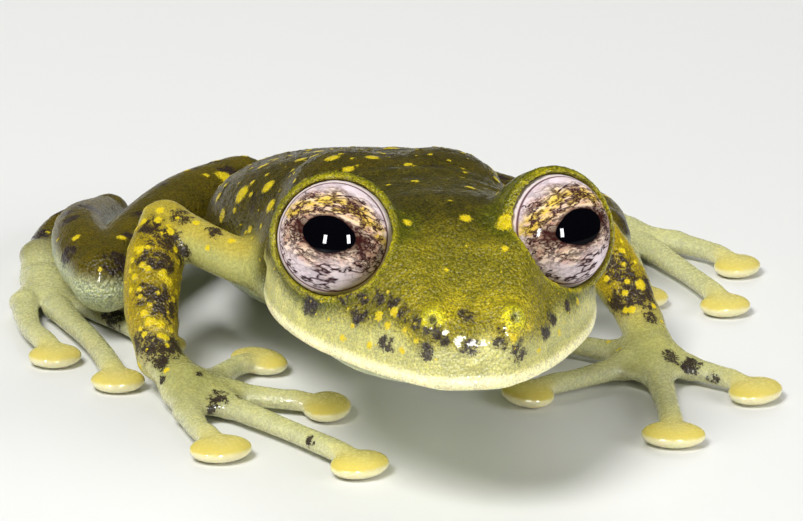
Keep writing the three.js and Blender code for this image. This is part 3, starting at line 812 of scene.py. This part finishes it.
def skin_colours():
    """The colour of every vertex, from the regions it belongs to."""
    leg = mix(BELLY, BACK_GREEN * 1.5, step(up_facing, -0.1, 0.5))
    digit = mix(HAND_PALE, LIMB_PALE, step(up_facing, 0.5, 1.0) * 0.5)
    colours = {
        "head": head_colours(),
        "trunk": mix(BACK_GREEN, BELLY, 1 - step(up_facing, -0.45, 0.1)),
        "arm": mix(LIMB_PALE, ARM_OLIVE * 1.3, step(up_facing, 0.1, 0.9) * 0.6),
        "forearm": mix(LIMB_PALE, ARM_OLIVE, step(up_facing - 0.6 * normal[:, 1], -0.5, 0.3)),
        "hand": mix(HAND_PALE, LIMB_PALE * 0.8, step(up_facing, 0.1, 0.9)),
        "digit": digit, "pad": mix(PAD_RIM, PAD_TOP, step(up_facing, 0.0, 0.6)),
        "thigh": leg, "shank": leg, "tarsus": leg, "foot": digit}
    return sum(weight[region][:, None] * colour for region, colour in colours.items())


def speckling():
    """How strongly the skin is speckled: most on the olive, least on pale skin and pads."""
    olive = (weight["head"] * (1 - pale_face) + weight["trunk"] + 0.5 * weight["forearm"]
             + 0.6 * weight["thigh"] + 0.6 * weight["shank"] + 0.25 * weight["head"] * pale_face)
    return np.clip(0.25 + 0.75 * olive, 0, 1) * (1 - weight["pad"])


def marks(rng):
    """Strength of the yellow and of the dark marks at every vertex."""
    back = weight["trunk"] * step(up_facing, 0.0, 0.4)
    back[weight["trunk"] < 0.3] = 0
    crown = weight["head"] * step(Z, 6.3, 6.8)
    leg = (weight["thigh"] + weight["shank"] + weight["tarsus"]) * step(up_facing, 0, 0.4)
    face = weight["head"] * step(Z, 4.6, 4.9) * (1 - step(Z, 6.2, 6.6))
    arm = weight["forearm"] * step(up_facing - 0.6 * normal[:, 1], -0.2, 0.4)
    yellow = np.maximum.reduce([
        spots(FACE_YELLOW), spots(ARM_YELLOW),
        scatter(rng, back, BACK_SPOTS), scatter(rng, back, BACK_DOTS),
        scatter(rng, crown, CROWN_DOTS), scatter(rng, leg, LEG_DOTS),
        scatter(rng, arm, ARM_DOTS), scatter(rng, face, FACE_DOTS)])
    dark = np.maximum.reduce([
        spots(FACE_DARK), spots(ARM_DARK), spots([(*p, LINE_RADIUS) for p in FACE_LINE]) * 0.85,
        scatter(rng, leg, LEG_BLOTCHES), scatter(rng, back, BACK_BLOTCHES) * 0.6,
        scatter(rng, weight["forearm"] * (X > 0), ARM_BLOTCHES)])
    return yellow, dark


rng = np.random.default_rng(SEED)
tint, speckle = skin_colours(), speckling()
yellow, dark = marks(rng)


def raised():
    """Low bumps under the yellow marks, and a fine unevenness where the skin is speckled."""
    rough = np.repeat(rng.normal(0, ROUGHNESS, len(place))[:, None], 3, 1)
    rough = relax(rough, quads, 1, 1.0)[:, 0]
    bumps = np.clip(yellow, 0, 1) * DOT_HEIGHT * (speckle > 0.4) + rough * speckle
    return place + normal * bumps[:, None]


def build_skin():
    mesh = bpy.data.meshes.new("skin")
    where = metres(raised())
    mesh.vertices.add(len(where))
    mesh.vertices.foreach_set("co", where.astype(np.float32).ravel())
    mesh.loops.add(len(quads) * 4)
    mesh.loops.foreach_set("vertex_index", quads.astype(np.int32).ravel())
    mesh.polygons.add(len(quads))
    mesh.polygons.foreach_set("loop_start", np.arange(0, len(quads) * 4, 4, dtype=np.int32))
    mesh.polygons.foreach_set("loop_total", np.full(len(quads), 4, np.int32))
    mesh.polygons.foreach_set("use_smooth", np.ones(len(quads), bool))
    mesh.update(calc_edges=True)
    colour = mesh.attributes.new("tint", "FLOAT_COLOR", "POINT")
    colour.data.foreach_set("color", np.c_[np.clip(tint, 0, 1), np.ones(len(tint))]
                            .astype(np.float32).ravel())
    for name, values in (("dark", dark), ("yellow", yellow), ("pad", weight["pad"]),
                         ("speckle", speckle)):
        layer = mesh.attributes.new(name, "FLOAT", "POINT")
        layer.data.foreach_set("value", values.astype(np.float32))
    skin = bpy.data.objects.new("skin", mesh)
    bpy.context.collection.objects.link(skin)
    return skin


# Materials
class Nodes:
    """Short calls for building a node material."""

    def __init__(self, name):
        self.material = bpy.data.materials.new(name)
        self.material.use_nodes = True
        self.tree = self.material.node_tree
        self.tree.nodes.clear()
        self.out = self.tree.nodes.new("ShaderNodeOutputMaterial")
        self.shader = self.tree.nodes.new("ShaderNodeBsdfPrincipled")
        self.link(self.shader.outputs[0], self.out.inputs[0])

    def link(self, a, b):
        self.tree.links.new(a, b)

    def node(self, kind, inputs=None, **settings):
        n = self.tree.nodes.new("ShaderNode" + kind)
        for k, v in settings.items():
            setattr(n, k, v)
        for k, v in (inputs or {}).items():
            self.put(n.inputs[k], v)
        return n

    def finish(self, values):
        """Sets the shader's own sockets: nodes are linked, and plain values are written in."""
        for name, value in values.items():
            self.put(self.shader.inputs[name], value)

    def put(self, socket, value):
        if isinstance(value, bpy.types.NodeSocket):
            self.link(value, socket)
        else:
            socket.default_value = value

    def attribute(self, name, output="Fac"):
        return self.node("Attribute", attribute_name=name).outputs[output]

    def maths(self, operation, *values):
        n = self.node("Math", operation=operation)
        for i, v in enumerate(values):
            self.put(n.inputs[i], v)
        return n.outputs[0]

    def times(self, a, b):
        return self.maths("MULTIPLY", a, b)

    def plus(self, a, b):
        return self.maths("ADD", a, b)

    def minus(self, a, b):
        return self.maths("SUBTRACT", a, b)

    def most(self, a, b):
        return self.maths("MAXIMUM", a, b)

    def size(self, a):
        return self.maths("ABSOLUTE", a)

    def swing(self, noise, amount):
        """Noise moved to lie about zero, and scaled."""
        return self.times(self.minus(noise, 0.5), amount)

    def ramp(self, value, low, high, start=0.0, end=1.0):
        """Goes smoothly from start to end as the value goes from low to high."""
        n = self.node("MapRange", interpolation_type="SMOOTHSTEP")
        for k, v in (("Value", value), ("From Min", low), ("From Max", high),
                     ("To Min", start), ("To Max", end)):
            self.put(n.inputs[k], v)
        return n.outputs[0]

    def blend(self, factor, a, b, kind="MIX"):
        n = self.node("Mix", data_type="RGBA", blend_type=kind)
        self.put(n.inputs[0], factor)
        self.put(n.inputs[6], a)
        self.put(n.inputs[7], b)
        return n.outputs[2]

    def noise(self, scale, detail=3.0, rough=0.5, vector=None):
        n = self.node("TexNoise", {"Scale": scale, "Detail": detail, "Roughness": rough})
        self.put(n.inputs["Vector"], vector or self.where())
        return n.outputs["Fac"]

    def where(self):
        return self.node("NewGeometry").outputs["Position"]


def rgb(c):
    return (float(c[0]), float(c[1]), float(c[2]), 1.0)


def skin_material():
    """Olive skin with clouds, fine yellow-green flecks, ragged dark marks and a wet gloss."""
    m = Nodes("frog_skin")
    grain = m.noise(GRAIN, 4.0, 0.65)
    stipple = m.noise(STIPPLE, 2.0, 0.6)
    patch = m.noise(CLOUDS, 3.0, 0.55)
    granules = m.node("TexVoronoi", {"Scale": GRANULES, "Randomness": 0.9, "Vector": m.where()},
                      feature="F1")
    speckle, pad = m.attribute("speckle"), m.attribute("pad")
    # Broad clouds, then fine speckles that are yellow-green on a darker ground.
    cloudy = m.blend(m.ramp(patch, 0.35, 0.68), rgb(CLOUD_DARK), rgb(CLOUD_LIGHT))
    mottled = m.blend(m.times(speckle, 0.8), m.attribute("tint", "Color"), cloudy, "MULTIPLY")
    fine = m.plus(m.times(stipple, 0.6), m.times(grain, 0.4))
    fleck = m.blend(m.ramp(fine, 0.4, 0.6), rgb(FLECK_DARK), rgb(FLECK_LIGHT))
    mottled = m.blend(speckle, mottled, fleck, "MULTIPLY")
    # The marks' edges are broken up by the same grain.
    rough_edge = m.swing(fine, 3.4)
    ragged = m.swing(m.noise(TATTERS, 2.0, 0.5), 2.2)
    yellow = m.plus(m.attribute("yellow"), m.times(rough_edge, 0.5))
    yellow = m.ramp(yellow, 0.45, 0.95, 0.0, 0.92)
    coloured = m.blend(yellow, mottled, rgb(YELLOW))
    mark = m.attribute("dark")
    dark = m.ramp(m.plus(m.plus(mark, rough_edge), ragged), 0.45, 0.95, 0.0, 0.95)
    dark = m.times(dark, m.ramp(mark, 0.02, 0.2))
    dark = m.times(dark, m.ramp(yellow, 0.3, 0.9, 1.0, 0.1))
    coloured = m.blend(dark, coloured, rgb(DARK))
    # Pale skin and pads are wetter and smoother than the olive.
    dull = m.ramp(grain, 0.3, 0.7, 0.3, 0.5)
    wet = m.most(pad, m.ramp(speckle, 0.25, 0.5, 0.8, 0.0))
    height = m.plus(m.times(granules.outputs["Distance"], -1.0), m.times(grain, 0.6))
    calm = m.times(m.ramp(pad, 0.2, 0.8, 1.0, 0.1), m.ramp(speckle, 0.2, 0.9, 0.28, 1.0))
    bump = m.node("Bump", {"Strength": m.times(calm, 0.9), "Distance": BUMP_DEPTH,
                           "Height": height})
    m.finish({"Base Color": coloured, "Roughness": m.minus(dull, m.times(wet, 0.2)),
              "Normal": bump.outputs[0], "Subsurface Weight": 0.4,
              "Subsurface Radius": (1.0, 0.8, 0.3), "Subsurface Scale": 0.0005,
              "Specular IOR Level": 0.25, "Coat Weight": 0.25, "Coat Roughness": 0.07,
              "Coat IOR": 1.33})
    return m.material


def pupil_shape(m, x, y):
    """Below 1 inside the pupil: a wide rounded lozenge, sharper at the corner by the nose."""
    sharp = m.minus(1.95, m.times(m.ramp(x, -0.1, 0.1, 1.0, 0.0), 0.55))
    wide = m.maths("POWER", m.maths("DIVIDE", m.size(x), PUPIL_HALF[0]), sharp)
    high = m.maths("POWER", m.maths("DIVIDE", m.size(y), PUPIL_HALF[1]), 1.9)
    return m.plus(m.plus(wide, high), m.swing(m.noise(1600.0, 2.0, 0.5), 0.22))


def iris_net(m, squeezed, dense):
    """Veins along the level lines of noise: bold and sparse, fine and dense, and crumbs."""
    def lines(scale, width):
        value = m.noise(scale, 4.0, 0.62, squeezed)
        return m.ramp(m.size(m.minus(value, 0.5)), 0.0, width, 1.0, 0.0)

    fine = m.times(lines(2500.0, 0.08), m.plus(m.times(dense, 0.7), 0.3))
    crumbs = m.times(m.ramp(m.noise(6200.0, 3.0, 0.6, squeezed), 0.49, 0.62), dense)
    return m.most(m.most(lines(950.0, 0.04), fine), m.times(crumbs, 0.8))


def iris_ground(m, local, squeezed, dense):
    """Pale pink, mottled, and warm brown where the veins are dense."""
    ground = m.blend(m.noise(2600.0, 4.0, 0.6, local), rgb(IRIS_PALE), rgb(IRIS_MAUVE))
    warm = m.ramp(m.noise(4200.0, 3.0, 0.6, squeezed), 0.4, 0.6)
    warm = m.blend(warm, rgb(IRIS_BROWN), rgb(IRIS_SAND))
    return m.blend(m.times(dense, 0.75), ground, warm)


def golden_arch(m, x, y, squeezed, patches):
    """Strength of the golden arch over the pupil, which bows down at both ends."""
    arch = m.size(m.minus(m.plus(y, m.times(m.times(x, x), 0.5)), 0.52))
    arch = m.ramp(m.minus(arch, m.times(patches, 0.3)), 0.04, 0.22, 0.85, 0.0)
    return m.times(arch, m.ramp(m.noise(3300.0, 3.0, 0.6, squeezed), 0.36, 0.56))


def pupil_wedges(m, x, y, patches):
    """Strength of the dark wedges that run from the two corners of the pupil."""
    corner = m.minus(m.size(y), m.times(patches, 0.25))
    return m.times(m.ramp(corner, 0.03, 0.34, 1.0, 0.0), m.ramp(m.size(x), 0.46, 0.92, 0.95, 0.0))


def eye_material(side, name):
    """Iris, pupil and rings in the eye's own frame, local Z along the gaze, 1 = its radius."""
    m = Nodes(name)
    local = m.node("TexCoord").outputs["Object"]
    parts = m.node("SeparateXYZ", {"Vector": local})
    radii = (side * EYE_RADIUS * MM, EYE_RADIUS * MM, EYE_RADIUS * MM)
    x, y, z = (m.maths("DIVIDE", parts.outputs[i], radii[i]) for i in range(3))
    r = m.maths("SQRT", m.plus(m.times(x, x), m.times(y, y)))
    pupil = pupil_shape(m, x, y)
    squeezed = m.node("VectorMath", {0: local, 1: (0.5, 1.25, 1.0)},
                      operation="MULTIPLY").outputs[0]
    patches = m.swing(m.noise(1300.0, 3.0, 0.6, local), 0.9)
    # The net is dense in a level band a little above the pupil's middle.
    band = m.minus(m.size(m.minus(y, 0.12)), patches)
    dense = m.times(m.ramp(band, 0.35, 0.8, 1.0, 0.0), m.ramp(r, 0.76, 0.92, 1.0, 0.0))
    ground = iris_ground(m, local, squeezed, dense)
    ground = m.blend(golden_arch(m, x, y, squeezed, patches), ground, rgb(IRIS_GOLD))
    iris = m.blend(iris_net(m, squeezed, dense), ground, rgb(VEIN))
    near = m.most(m.ramp(pupil, 1.0, 1.45, 0.85, 0.0), pupil_wedges(m, x, y, patches))
    iris = m.blend(near, iris, rgb(WEDGE))
    iris = m.blend(m.ramp(pupil, 0.98, 1.05, 1.0, 0.0), iris, rgb(PUPIL))
    # A thin dark line and a pale ring where the eye meets the lids, and dull skin behind them.
    iris = m.blend(m.ramp(r, 0.885, 0.9), iris, rgb(RING_DARK))
    iris = m.blend(m.ramp(r, 0.905, 0.92), iris, rgb(RING_PALE))
    iris = m.blend(m.ramp(z, 0.3, 0.24), iris, rgb(EYE_BEHIND))
    m.finish({"Base Color": iris, "Roughness": 0.6, "Specular IOR Level": 0.0,
              "Coat Weight": 0.25, "Coat Roughness": 0.01, "Coat IOR": 1.38})
    return m.material


def build_eye(side, name, material):
    """The eyeball, its local X along the pupil and its local Z along the gaze."""
    bpy.ops.mesh.primitive_uv_sphere_add(segments=96, ring_count=48, radius=EYE_RADIUS * MM)
    eye = bpy.context.object
    eye.name = name
    eye.data.name = name
    at, axis = mirrored(EYE_AT, side), eye_axis(side)
    across = np.array([-axis[1], axis[0], 0.0])
    across = across / np.linalg.norm(across)
    tip = math.radians(PUPIL_DROP * side)
    across = across * math.cos(tip) + np.cross(axis, across) * math.sin(tip)
    turn = Matrix((across, np.cross(axis, across), axis)).transposed().to_4x4()
    eye.matrix_world = Matrix.Translation(Vector(metres(at))) @ turn
    for polygon in eye.data.polygons:
        polygon.use_smooth = True
    eye.data.materials.append(material)
    return eye


skin = build_skin()
skin.data.materials.append(skin_material())
eye_left = build_eye(1, "eyeball_left", eye_material(1, "frog_eye_left"))
eye_right = build_eye(-1, "eyeball_right", eye_material(-1, "frog_eye_right"))
flesh = [n["node"] for n in frame["record"]["subparts"] if not n["node"].startswith("eye_")]
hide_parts(*flesh)
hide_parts("eye_left")
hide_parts("eye_right")
for piece, material_slot in ((skin, "skin"), (eye_left, "eye"), (eye_right, "eye")):
    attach(piece, "root")


# Floor, light and camera
def floor():
    bpy.ops.mesh.primitive_plane_add(size=FLOOR_SIZE, location=(0, 0, 0))
    plane = bpy.context.object
    plane.name = "floor"
    m = Nodes("floor")
    m.finish({"Base Color": rgb(FLOOR_PALE), "Roughness": 0.7})
    plane.data.materials.append(m.material)


def light(name, at, target, size, watts, glint=False):
    """A soft round lamp; a glint is upright, narrow and seen only in gloss."""
    data = bpy.data.lights.new(name, "AREA")
    data.shape = "RECTANGLE" if glint else "DISK"
    data.size, data.size_y = size
    data.energy = watts
    lamp = bpy.data.objects.new(name, data)
    bpy.context.collection.objects.link(lamp)
    lamp.location = at
    lamp.rotation_euler = (Vector(target) - Vector(at)).to_track_quat("-Z", "Y").to_euler()
    lamp.visible_glossy = glint
    lamp.visible_diffuse = not glint


def lights():
    """Lamps set from the eye line: towards the camera, up and to the right."""
    body, eyes = metres(BODY_MIDDLE), np.array(metres((0, 0, EYE_LINE)))
    ahead = np.array(metres(CAMERA_AT)) - eyes
    ahead /= np.linalg.norm(ahead)
    for name, (out, up, right), size, watts in LAMPS:
        at = eyes + ahead * out + CAMERA_UP * up + RIGHT * right
        light(name, tuple(at), body, (size, size), watts)
    for i, right in enumerate((-GLINT_APART, GLINT_APART)):
        at = eyes + ahead * GLINT_OUT + RIGHT * right
        light("glint_%d" % i, tuple(at), tuple(eyes), GLINT_SIZE, GLINT_WATTS, glint=True)


def surroundings():
    world = bpy.data.worlds.new("world")
    world.use_nodes = True
    glow = world.node_tree.nodes["Background"]
    glow.inputs["Color"].default_value = rgb(SKY)
    glow.inputs["Strength"].default_value = SKY_STRENGTH
    bpy.context.scene.world = world
    bpy.context.scene.view_settings.view_transform = "Standard"


def camera():
    data = bpy.data.cameras.new("camera")
    data.sensor_width = SENSOR
    data.lens = FOCAL / PICTURE[0] * SENSOR
    data.clip_start = 0.01
    data.clip_end = 5.0
    cam = bpy.data.objects.new("camera", data)
    bpy.context.collection.objects.link(cam)
    turn = Matrix((RIGHT, CAMERA_UP, BACK)).transposed().to_4x4()
    cam.matrix_world = Matrix.Translation(Vector(metres(CAMERA_AT))) @ turn
    bpy.context.scene.camera = cam


floor()
camera()
lights()
surroundings()
